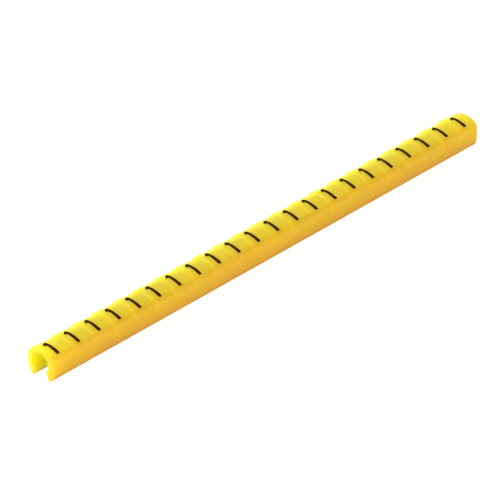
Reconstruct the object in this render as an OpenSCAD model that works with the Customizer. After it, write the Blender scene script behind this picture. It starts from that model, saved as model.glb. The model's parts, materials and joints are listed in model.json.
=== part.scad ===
// Strip of clip-on cable markers, moulded end to end in one piece of soft plastic.
// Each marker is a sleeve with an open side: the wire snaps in between two lips.
// X runs along the strip, the bore's axis is parallel to it, and the legs stand on Z = 0.

/* [Strip] */
// Number of markers in the strip
marker_count = 22; // [1:1:40]
// Length of one marker along the strip
marker_pitch = 4.2; // [3:0.1:8]

/* [Sleeve] */
// Diameter of the bore that grips the wire
bore_d = 3.3; // [2.4:0.1:6]
// Wall beside the bore, where the sleeve is widest
side_wall = 0.85; // [0.6:0.05:1.4]
// Wall over the bore, on the plain neck between two rims
crown = 0.45; // [0.4:0.05:1]
// Radius of the roof's flat arch, as a multiple of half the sleeve's width
roof_ratio = 1.6; // [1.2:0.05:2.2]
// Radius of the shoulders between roof and walls, as a part of half the sleeve's width
shoulder_ratio = 0.48; // [0.3:0.02:0.6]

/* [Legs] */
// Height of the bore above the feet
leg_drop = 0.8; // [0.5:0.05:1.4]
// Distance by which each leg curves in from the wall to its foot
leg_tuck = 0.5; // [0.2:0.05:0.6]
// Reach of each lip in front of the bore's wall
lip = 0.45; // [0.2:0.05:0.8]
// Height of the upright face of each lip
lip_land = 0.35; // [0.1:0.05:0.6]
// Width of the flat that each leg stands on
foot_w = 0.5; // [0.2:0.05:0.7]

/* [Rims] */
// Rise of the raised rim above the neck
rim_rise = 0.16; // [0.05:0.01:0.3]
// Plain length in front of each rim
rim_gap = 0.05; // [0.05:0.05:0.3]
// Length of the steep front of the rim
rim_front = 0.2; // [0.1:0.05:0.4]
// Length of the crest of the rim
rim_crest = 0.2; // [0.1:0.05:0.5]
// Place where the rim ends and the plain neck begins, as a part of the marker's length
rim_end = 0.64; // [0.5:0.02:0.85]
// Part of the back slope on which the rim loses its first half of the rise
rim_ease = 0.78; // [0.4:0.02:0.9]

/* [Hidden] */
$fn = 96;

strip_len = marker_count * marker_pitch;
bore_r = bore_d / 2;
axis_h = bore_r + leg_drop;
top_h = axis_h + bore_r + crown;
half_w = bore_r + side_wall;

// Three-centred arch: each shoulder is tangent to the roof around it and to the upright wall below it.
roof_r = roof_ratio * half_w;
roof_z = top_h - roof_r;
shoulder_r = shoulder_ratio * half_w;
shoulder_y = half_w - shoulder_r;
shoulder_rise = sqrt(pow(roof_r - shoulder_r, 2) - shoulder_y * shoulder_y);
shoulder_z = roof_z + shoulder_rise;
meet_a = atan2(shoulder_rise, shoulder_y);

// Each leg curves in from the knee, just under the bore's axis, and leaves the wall without a kink.
knee_z = 0.9 * axis_h;
leg_r = (knee_z * knee_z + leg_tuck * leg_tuck) / (2 * leg_tuck);
foot_y = half_w - leg_tuck;
mouth_y = foot_y - foot_w;

// The lips' upper edges lie where the slot meets the bore.
slot_y = bore_r - lip;
lip_z = axis_h - sqrt(bore_r * bore_r - slot_y * slot_y);

// A rim's roots start inside the wall, and its ends run into the walls.
rim_root = crown / 12;
rim_bed = crown / 2;
rim_below = acos((shoulder_r - rim_root) / (shoulder_r + rim_rise));

// The part of the roof circle that lies between the two shoulders
module roof_outline() {
    intersection() {
        translate([0, roof_z]) circle(r = roof_r);
        polygon([
            [0, roof_z],
            [2 * shoulder_y, roof_z + 2 * shoulder_rise],
            [0, roof_z + 3 * roof_r],
            [-2 * shoulder_y, roof_z + 2 * shoulder_rise]
        ]);
    }
}

// The legs below the knee, as one shape that narrows to the feet
module leg_outline() {
    intersection() {
        translate([half_w - leg_r, knee_z]) circle(r = leg_r);
        translate([leg_r - half_w, knee_z]) circle(r = leg_r);
        translate([-2 * half_w, 0]) square([4 * half_w, knee_z]);
    }
}

// Outer shape of the sleeve: a low roof on round shoulders, upright walls and curved legs
module sleeve_outline() {
    roof_outline();
    for (side = [-1, 1]) translate([side * shoulder_y, shoulder_z]) circle(r = shoulder_r);
    translate([-half_w, knee_z]) square([2 * half_w, shoulder_z - knee_z]);
    leg_outline();
}

// Open side of the sleeve: the slot between the lips, flared to the mouth at the feet
module slot_outline() {
    polygon([
        [-mouth_y, 0], [-slot_y, lip_z - lip_land], [-slot_y, axis_h],
        [slot_y, axis_h], [slot_y, lip_z - lip_land], [mouth_y, 0],
        [mouth_y, -half_w], [-mouth_y, -half_w]
    ]);
}

module sleeve_section() {
    difference() {
        sleeve_outline();
        translate([0, axis_h]) circle(r = bore_r);
        slot_outline();
    }
}

// Length section of one rim on an arch of radius r, as distance from its axis and place along the marker
module rim_profile(r) {
    crest_at = rim_gap + rim_front;
    back_at = crest_at + rim_crest;
    end_at = rim_end * marker_pitch;
    half_at = back_at + rim_ease * (end_at - back_at);
    polygon([
        [r - rim_bed, rim_gap],
        [r - rim_root, rim_gap],
        [r + rim_rise, crest_at],
        [r + rim_rise, back_at],
        [r + rim_rise / 2, half_at],
        [r - rim_root, end_at],
        [r - rim_bed, end_at]
    ]);
}

// Stretch of a rim about the axis at y, z, from the angle a0 to a1 above the +Y side
module rim_arc(y, z, r, a0, a1) {
    translate([0, y, z]) rotate([90, 0, 90]) rotate([0, 0, a0])
        rotate_extrude(angle = a1 - a0) rim_profile(r);
}

// The rim round the shoulder on the -Y side, down to where it fades into the wall
module rim_side() {
    rim_arc(-shoulder_y, shoulder_z, shoulder_r, 180 - meet_a, 180 + rim_below);
}

// One rim, over the roof and round both shoulders
module rim() {
    rim_arc(0, roof_z, roof_r, meet_a, 180 - meet_a);
    rim_side();
    mirror([0, 1, 0]) rim_side();
}

module marker_strip() {
    color("gold") translate([-strip_len / 2, 0, 0]) {
        rotate([90, 0, 90]) linear_extrude(strip_len) sleeve_section();
        for (i = [0 : marker_count - 1]) translate([i * marker_pitch, 0, 0]) rim();
    }
}

marker_strip();
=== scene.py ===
import json
import math

import bmesh
import bpy
from mathutils import Matrix, Vector


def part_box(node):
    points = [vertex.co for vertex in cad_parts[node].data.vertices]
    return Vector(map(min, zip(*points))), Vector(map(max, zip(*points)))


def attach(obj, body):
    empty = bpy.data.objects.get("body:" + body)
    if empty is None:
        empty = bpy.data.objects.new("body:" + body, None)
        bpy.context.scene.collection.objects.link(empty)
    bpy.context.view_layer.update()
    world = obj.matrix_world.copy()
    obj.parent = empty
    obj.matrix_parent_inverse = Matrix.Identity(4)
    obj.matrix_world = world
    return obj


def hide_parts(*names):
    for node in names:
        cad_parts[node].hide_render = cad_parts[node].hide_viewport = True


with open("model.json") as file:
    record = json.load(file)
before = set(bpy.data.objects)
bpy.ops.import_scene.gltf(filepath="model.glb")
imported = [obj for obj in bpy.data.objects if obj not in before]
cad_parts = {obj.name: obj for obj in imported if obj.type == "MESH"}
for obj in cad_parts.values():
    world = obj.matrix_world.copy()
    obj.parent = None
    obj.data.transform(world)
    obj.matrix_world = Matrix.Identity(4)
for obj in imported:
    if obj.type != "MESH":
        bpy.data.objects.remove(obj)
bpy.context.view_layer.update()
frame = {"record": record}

# The strip is a row of open sleeves, moulded end to end in one length of soft yellow plastic.
# Its section has a low roof, round shoulders, upright walls, legs that tuck in, and a lip under
# each side of the bore. A raised rim runs over the roof near one end of every sleeve.
MM = 0.001
marker_count = 22
roof_ratio = 1.6
shoulder_ratio = 0.48
knee_ratio = 0.9
leg_tuck = 0.5 * MM
foot_w = 0.5 * MM
lip = 0.45 * MM
lip_land = 0.35 * MM
rim_rise = 0.16 * MM
rim_front = 0.58 * MM
rim_slope_from = 0.55 * MM
rim_slope_len = 1.65 * MM
rim_slope_loss = 0.5
rim_fade_from = 2.05 * MM
rim_fade_to = 2.75 * MM
soft_corner = 0.07 * MM
soft_end = 0.04 * MM
crease_angle = math.radians(40)
roof_steps = 10
shoulder_steps = 8
wall_steps = 6
leg_steps = 5
bore_steps = 18
rings_per_marker = 20
ring_crowding = 1.45
weld = 1e-7

strip_low, strip_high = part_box("marker_strip")
wire_clip = next(m for m in frame["record"]["mounts"] if m["name"] == "wire_clip")
bore_r = wire_clip["dims"]["r_mm"] * MM
axis_z = wire_clip["pos_m"][2]
strip_len = strip_high.x - strip_low.x
pitch = strip_len / marker_count
half_w = strip_high.y - rim_rise
top_z = strip_high.z - rim_rise

roof_r = roof_ratio * half_w
roof_z = top_z - roof_r
shoulder_r = shoulder_ratio * half_w
shoulder_y = half_w - shoulder_r
shoulder_z = roof_z + math.sqrt((roof_r - shoulder_r) ** 2 - shoulder_y**2)
meet_angle = math.atan2(shoulder_z - roof_z, shoulder_y)
knee_z = knee_ratio * axis_z
leg_r = (knee_z**2 + leg_tuck**2) / (2 * leg_tuck)
foot_y = half_w - leg_tuck
slot_y = bore_r - lip
lip_z = axis_z - math.sqrt(bore_r**2 - slot_y**2)


def verts_in(geom):
    """The vertices among what an operator returns."""
    return [g for g in geom if isinstance(g, bmesh.types.BMVert)]


def draw_line(bm, vert, y, z, steps=1):
    """Draws a straight stretch of the section from a vertex and returns its last vertex."""
    step = (Vector((vert.co.x, y, z)) - vert.co) / steps
    for _ in range(steps):
        vert = bmesh.ops.extrude_vert_indiv(bm, verts=[vert])["verts"][0]
        bmesh.ops.translate(bm, verts=[vert], vec=step)
    return vert


def draw_arc(bm, vert, y, z, angle, steps):
    """Sweeps a vertex about an axis along X through y, z and returns its last vertex."""
    swept = bmesh.ops.spin(
        bm, geom=[vert], cent=(0, y, z), axis=(1, 0, 0), angle=angle, steps=steps
    )
    return verts_in(swept["geom_last"])[0]


def clamp(x):
    """Keeps a number between 0 and 1."""
    return min(max(x, 0), 1)


def smooth_step(x, low, high):
    """Rises from 0 at low to 1 at high, level at both ends."""
    part = clamp((x - low) / (high - low))
    return part * part * (3 - 2 * part)


def rim_height(along):
    """Rise of the rim at a distance from the near end of its sleeve: steep front, long back."""
    front = smooth_step(along, 0.0, rim_front)
    slope = 1 - rim_slope_loss * clamp((along - rim_slope_from) / rim_slope_len)
    return rim_rise * front * slope * (1 - smooth_step(along, rim_fade_from, rim_fade_to))


def rim_shift(co, rise):
    """How far a point of the plain section moves out where the rim stands that high."""
    side = math.copysign(1, co.y)
    roof_ray = Vector((0, co.y, co.z - roof_z))
    shoulder_ray = Vector((0, co.y - side * shoulder_y, co.z - shoulder_z))
    near = 1e-6
    on_roof = abs(co.y) <= roof_r * math.cos(meet_angle) + near
    if abs(roof_ray.length - roof_r) < near and on_roof:
        return roof_ray.normalized() * rise
    if abs(shoulder_ray.length - shoulder_r) < near and co.z >= shoulder_z:
        return shoulder_ray.normalized() * rise
    drop = shoulder_z - co.z
    if abs(abs(co.y) - half_w) < near and 0 < drop < shoulder_r + rise:
        reach = math.sqrt((shoulder_r + rise) ** 2 - drop**2) - shoulder_r
        return Vector((0, side * max(reach, 0), 0))
    return Vector()


# Half of the section, drawn from the apex down the outside and up the bore, then mirrored
strip_bm = bmesh.new()
apex = strip_bm.verts.new((strip_low.x, 0, top_z))
end = draw_arc(strip_bm, apex, 0, roof_z, meet_angle - math.pi / 2, roof_steps)
end = draw_arc(strip_bm, end, shoulder_y, shoulder_z, -meet_angle, shoulder_steps)
end = draw_line(strip_bm, end, half_w, knee_z, wall_steps)
leg_sweep = -math.asin(knee_z / leg_r)
foot_corner = draw_arc(strip_bm, end, half_w - leg_r, knee_z, leg_sweep, leg_steps)
mouth_corner = draw_line(strip_bm, foot_corner, foot_y - foot_w, 0)
lead_corner = draw_line(strip_bm, mouth_corner, slot_y, lip_z - lip_land)
lip_corner = draw_line(strip_bm, lead_corner, slot_y, lip_z)
bore_sweep = math.pi / 2 + math.atan2(axis_z - lip_z, slot_y)
draw_arc(strip_bm, lip_corner, 0, axis_z, bore_sweep, bore_steps)
corners = [v.co.copy() for v in (foot_corner, mouth_corner, lead_corner, lip_corner)]
half_section = strip_bm.verts[:] + strip_bm.edges[:]
bmesh.ops.mirror(strip_bm, geom=half_section, axis="Y", merge_dist=weld)
bmesh.ops.contextual_create(strip_bm, geom=strip_bm.edges[:])
sharp = [
    v for v in strip_bm.verts
    if any((Vector((v.co.x, abs(v.co.y), v.co.z)) - c).length < weld for c in corners)
]
bmesh.ops.bevel(
    strip_bm, geom=sharp, offset=soft_corner, affect="VERTICES",
    segments=3, profile=0.5, material=-1,
)

# The section runs along the strip, with its rings closer together at the steep front of each rim
ring = strip_bm.edges[:]
near_edges = ring
ring_x = 0
for marker in range(marker_count):
    for step in range(1, rings_per_marker + 1):
        next_x = pitch * (marker + (step / rings_per_marker) ** ring_crowding)
        swept = bmesh.ops.extrude_edge_only(strip_bm, edges=ring)["geom"]
        bmesh.ops.translate(strip_bm, verts=verts_in(swept), vec=(next_x - ring_x, 0, 0))
        ring = [g for g in swept if isinstance(g, bmesh.types.BMEdge)]
        ring = [e for e in ring if e.verts[0].co.x == e.verts[1].co.x]
        ring_x = next_x
bmesh.ops.contextual_create(strip_bm, geom=ring)
for vert in strip_bm.verts:
    along = (vert.co.x - strip_low.x) % pitch
    vert.co += rim_shift(vert.co, rim_height(along))
bmesh.ops.bevel(
    strip_bm, geom=near_edges + ring, offset=soft_end, affect="EDGES",
    segments=2, profile=0.5, material=-1,
)
bmesh.ops.recalc_face_normals(strip_bm, faces=strip_bm.faces[:])
for face in strip_bm.faces:
    face.smooth = True


def make_piece(name, bm):
    """Turns a finished bmesh into an object at the origin."""
    mesh = bpy.data.meshes.new(name)
    bm.to_mesh(mesh)
    bm.free()
    piece = bpy.data.objects.new(name, mesh)
    bpy.context.scene.collection.objects.link(piece)
    return piece


strip = make_piece("soft_strip", strip_bm)
strip.data.set_sharp_from_angle(angle=crease_angle)


class Wire:
    """A socket of a material's nodes that can be used in plain arithmetic."""

    def __init__(self, tree, socket=None):
        self.tree = tree
        self.socket = socket

    def node(self, kind, settings=None, out=0, **inputs):
        """Adds any node, sets its settings, then its sockets, and returns one output."""
        made = self.tree.nodes.new(kind)
        for name, value in (settings or {}).items():
            if name == "stops":
                for stop, (place, colour) in zip(made.color_ramp.elements, value):
                    stop.position = place
                    stop.color = (*colour, 1)
            else:
                setattr(made, name, value)
        for name, value in inputs.items():
            key = int(name[1:]) if name[1:].isdigit() else name.replace("_", " ")
            self.feed(made.inputs[key], value)
        return Wire(self.tree, made.outputs[out])

    def feed(self, socket, value):
        """Links a wire to a socket, or sets the socket to a plain value."""
        if isinstance(value, Wire):
            self.tree.links.new(value.socket, socket)
        else:
            socket.default_value = value

    def maths(self, operation, a, b):
        """Adds a Math node on two numbers, either of them a wire."""
        return self.node("ShaderNodeMath", {"operation": operation}, _0=a, _1=b)

    def __add__(self, other):
        return self.maths("ADD", self, other)

    def __sub__(self, other):
        return self.maths("SUBTRACT", self, other)

    def __rsub__(self, other):
        return self.maths("SUBTRACT", other, self)

    def __mul__(self, other):
        return self.maths("MULTIPLY", self, other)

    __radd__ = __add__
    __rmul__ = __mul__


def new_material(name):
    """A material, its surface shader's sockets, and a wire of the piece's own coordinates."""
    material = bpy.data.materials.new(name)
    material.use_nodes = True
    shader = material.node_tree.nodes["Principled BSDF"]
    place = Wire(material.node_tree).node("ShaderNodeTexCoord", out="Object")
    return material, shader.inputs, place


pale_yellow = (0.88, 0.75, 0.035)
deep_yellow = (0.86, 0.71, 0.03)
satin = 0.48
satin_spread = 0.12
grain_depth = 0.02 * MM
soft_plastic, skin, place = new_material("soft_plastic")
cloud = place.node("ShaderNodeTexNoise", out="Fac", Vector=place, Scale=160.0, Detail=3.0)
grain = place.node("ShaderNodeTexNoise", out="Fac", Vector=place, Scale=5200.0, Detail=2.0)
yellows = {"stops": [(0.3, deep_yellow), (0.7, pale_yellow)]}
tint = place.node("ShaderNodeValToRGB", yellows, out="Color", Fac=cloud)
dents = place.node("ShaderNodeBump", out="Normal", Strength=0.08, Distance=grain_depth, Height=grain)
place.feed(skin["Base Color"], tint)
place.feed(skin["Roughness"], satin + (cloud - 0.5) * satin_spread)
place.feed(skin["Normal"], dents)
skin["Specular IOR Level"].default_value = 0.2
skin["Subsurface Weight"].default_value = 0.85
skin["Subsurface Radius"].default_value = (1.0, 1.2, 0.3)
skin["Subsurface Scale"].default_value = 4.4 * MM
strip.data.materials.append(soft_plastic)
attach(strip, "root")
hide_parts("marker_strip")

# The digits are dark brown ink, pressed on every roof by one pad: a plain figure one with a
# short flag. The ink is a thin film that follows roof, rim and shoulder, and the pad, which bends
# as it presses, bows the stroke.
digit_at = 0.424
stroke_top = -0.99 * MM
stroke_foot = 2.17 * MM
stroke_top_w = 0.5 * MM
stroke_foot_w = 0.62 * MM
stroke_bow = 0.08 * MM
bow_middle = 1.0 * MM
bow_span = 1.5 * MM
flag_reach = 0.5 * MM
flag_fall = 0.74 * MM
flag_w = 0.56 * MM
flag_root = 0.1 * MM
ink_film = 0.02 * MM
ink_sunk = 0.03 * MM
ink_corner = 0.16 * MM
wrap_steps = 20

# One digit lies flat, with x along the strip and y across it, from the apex to the camera's side
digit_bm = bmesh.new()
flag_slope = Vector((-flag_reach, flag_fall)).normalized() * flag_w
flag_x = -stroke_top_w / 2 - flag_reach
flag_y = stroke_top + flag_fall
digit_outline = (
    (stroke_foot_w / 2, stroke_foot),
    (stroke_top_w / 2, stroke_top),
    (-stroke_top_w / 4, stroke_top),
    (flag_x, flag_y),
    (flag_x + flag_slope.y, flag_y - flag_slope.x),
    (-stroke_top_w / 2, flag_y + flag_root),
    (-stroke_foot_w / 2, stroke_foot),
)
outline_verts = [digit_bm.verts.new((x, y, 0)) for x, y in digit_outline]
digit_bm.faces.new(outline_verts)
bmesh.ops.bevel(
    digit_bm, geom=outline_verts, offset=ink_corner, affect="VERTICES",
    segments=3, profile=0.5, material=-1,
)
for step in range(1, wrap_steps):
    cut = stroke_top + (stroke_foot - stroke_top) * step / wrap_steps
    whole = digit_bm.verts[:] + digit_bm.edges[:] + digit_bm.faces[:]
    bmesh.ops.bisect_plane(digit_bm, geom=whole, plane_co=(0, cut, 0), plane_no=(0, 1, 0))
film = bmesh.ops.extrude_face_region(digit_bm, geom=digit_bm.faces[:])["geom"]
bmesh.ops.translate(digit_bm, verts=verts_in(film), vec=(0, 0, ink_film + ink_sunk))

# Copies of it go on every marker, and all of them are wrapped over roof and shoulder
one_digit = digit_bm.verts[:] + digit_bm.edges[:] + digit_bm.faces[:]
for marker in range(1, marker_count):
    copy = bmesh.ops.duplicate(digit_bm, geom=one_digit)["geom"]
    bmesh.ops.translate(digit_bm, verts=verts_in(copy), vec=(marker * pitch, 0, 0))
bmesh.ops.translate(digit_bm, verts=digit_bm.verts[:], vec=(digit_at * pitch, 0, 0))
roof_half = roof_r * (math.pi / 2 - meet_angle)
for vert in digit_bm.verts:
    along, across, film_z = vert.co
    along += stroke_bow * ((across - bow_middle) / bow_span) ** 2
    lift = rim_height(along % pitch) + film_z - ink_sunk
    if across <= roof_half:
        lean = across / roof_r
        reach, arc_y, arc_z = roof_r + lift, 0, roof_z
    else:
        lean = math.pi / 2 - meet_angle + (across - roof_half) / shoulder_r
        reach, arc_y, arc_z = shoulder_r + lift, shoulder_y, shoulder_z
    out = Vector((0, -math.sin(lean), math.cos(lean)))
    vert.co = Vector((strip_low.x + along, -arc_y, arc_z)) + out * reach
bmesh.ops.recalc_face_normals(digit_bm, faces=digit_bm.faces[:])
digits = make_piece("printed_digits", digit_bm)

dark_brown = (0.032, 0.007, 0.0004)
worn_brown = (0.055, 0.024, 0.001)
dry = 0.5
dry_spread = 0.2
ink, ink_skin, ink_place = new_material("ink")
mottle = ink_place.node(
    "ShaderNodeTexNoise", out="Fac", Vector=ink_place, Scale=2600.0, Detail=2.0
)
browns = {"stops": [(0.3, dark_brown), (0.75, worn_brown)]}
ink_tint = ink_place.node("ShaderNodeValToRGB", browns, out="Color", Fac=mottle)
ink_place.feed(ink_skin["Base Color"], ink_tint)
ink_place.feed(ink_skin["Roughness"], dry + (mottle - 0.5) * dry_spread)
ink_skin["Specular IOR Level"].default_value = 0.0
digits.data.materials.append(ink)
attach(digits, "root")

# The floor is a plain white sweep of card. The camera sees it white, straight and in reflections,
# and it throws back less light than it shows, so that the sides of the strip keep their shade.
floor_r = 3.0
card_white = (0.9, 0.82, 0.8, 1)
floor_bm = bmesh.new()
bmesh.ops.create_circle(floor_bm, cap_ends=True, segments=96, radius=floor_r)
bmesh.ops.translate(floor_bm, verts=floor_bm.verts[:], vec=(0, 0, strip_low.z))
floor = make_piece("floor", floor_bm)


def seen_by_eye(wire):
    """Is 1 for what the camera sees straight, in a reflection or through something clear."""
    straight = wire.node("ShaderNodeLightPath", out="Is Camera Ray")
    mirrored = wire.node("ShaderNodeLightPath", out="Is Glossy Ray")
    through = wire.node("ShaderNodeLightPath", out="Is Transmission Ray")
    return wire.maths("MAXIMUM", straight, wire.maths("MAXIMUM", mirrored, through))


card, card_skin, card_place = new_material("card")
black_to_white = {"stops": [(0.0, (0, 0, 0)), (1.0, (1, 1, 1))]}
card_seen = seen_by_eye(card_place)
card_glow = card_place.node("ShaderNodeValToRGB", black_to_white, out="Color", Fac=card_seen)
card_place.feed(card_skin["Emission Color"], card_glow)
card_skin["Emission Strength"].default_value = 0.8
card_skin["Base Color"].default_value = card_white
card_skin["Roughness"].default_value = 0.9
card_skin["Specular IOR Level"].default_value = 0.0
floor.data.materials.append(card)

# Studio light: a pale softbox high behind the strip, which shines through the soft plastic, a
# warm fill low on the camera's side, a weak cool lamp beyond the near end, which picks out the
# end faces, and a pale room that the camera sees as white.
room_light = 0.25


def softbox(name, direction, distance, size, power, colour):
    """A square lamp that faces the middle of the strip."""
    lamp = bpy.data.lights.new(name, "AREA")
    lamp.size = size
    lamp.energy = power
    lamp.color = colour
    holder = bpy.data.objects.new(name, lamp)
    holder.location = Vector(direction).normalized() * distance
    holder.rotation_euler = Vector(direction).to_track_quat("Z", "Y").to_euler()
    bpy.context.scene.collection.objects.link(holder)


softbox(
    "key_light", direction=(-0.22, 0.62, 0.78), distance=0.9, size=0.3,
    power=10.7, colour=(1.0, 0.96, 0.48),
)
softbox(
    "fill_light", direction=(-0.25, -0.94, 0.23), distance=1.2, size=0.3,
    power=7.6, colour=(1.0, 0.35, 0.4),
)
softbox(
    "end_light", direction=(-0.93, -0.35, 0.1), distance=1.0, size=0.3,
    power=1.3, colour=(0.5, 1.0, 0.6),
)
room = bpy.data.worlds.new("room")
room.use_nodes = True
room_nodes = Wire(room.node_tree)
room_glow = room.node_tree.nodes["Background"].inputs
room_glow["Color"].default_value = (1.0, 1.0, 1.0, 1.0)
room_nodes.feed(room_glow["Strength"], room_light + seen_by_eye(room_nodes) * (1 - room_light))
bpy.context.scene.world = room

# The camera stands well back with a long lens, above the near end of the strip and to its left.
# It aims a little beside the middle of the strip and is rolled slightly, as the photograph is.
view_azimuth = math.radians(-44.82)
view_elevation = math.radians(29.67)
view_roll = math.radians(-2.95)
view_distance = 0.7726
lens_mm = 371.1
aim_right = -1.648 * MM
aim_up = -1.080 * MM
aim_height = 2.1 * MM
back = Vector((
    math.sin(view_azimuth) * math.cos(view_elevation),
    -math.cos(view_azimuth) * math.cos(view_elevation),
    math.sin(view_elevation),
))
right = Vector((math.cos(view_azimuth), math.sin(view_azimuth), 0))
up = back.cross(right)
aim = Vector((0, 0, aim_height)) + aim_right * right + aim_up * up
camera_data = bpy.data.cameras.new("camera")
camera_data.lens = lens_mm
camera_data.clip_end = 20
camera = bpy.data.objects.new("camera", camera_data)
turn = Matrix((right, up, back)).transposed() @ Matrix.Rotation(view_roll, 3, "Z")
camera.matrix_world = Matrix.Translation(aim + back * view_distance) @ turn.to_4x4()
bpy.context.scene.collection.objects.link(camera)
bpy.context.scene.camera = camera
bpy.context.scene.view_settings.view_transform = "Standard"
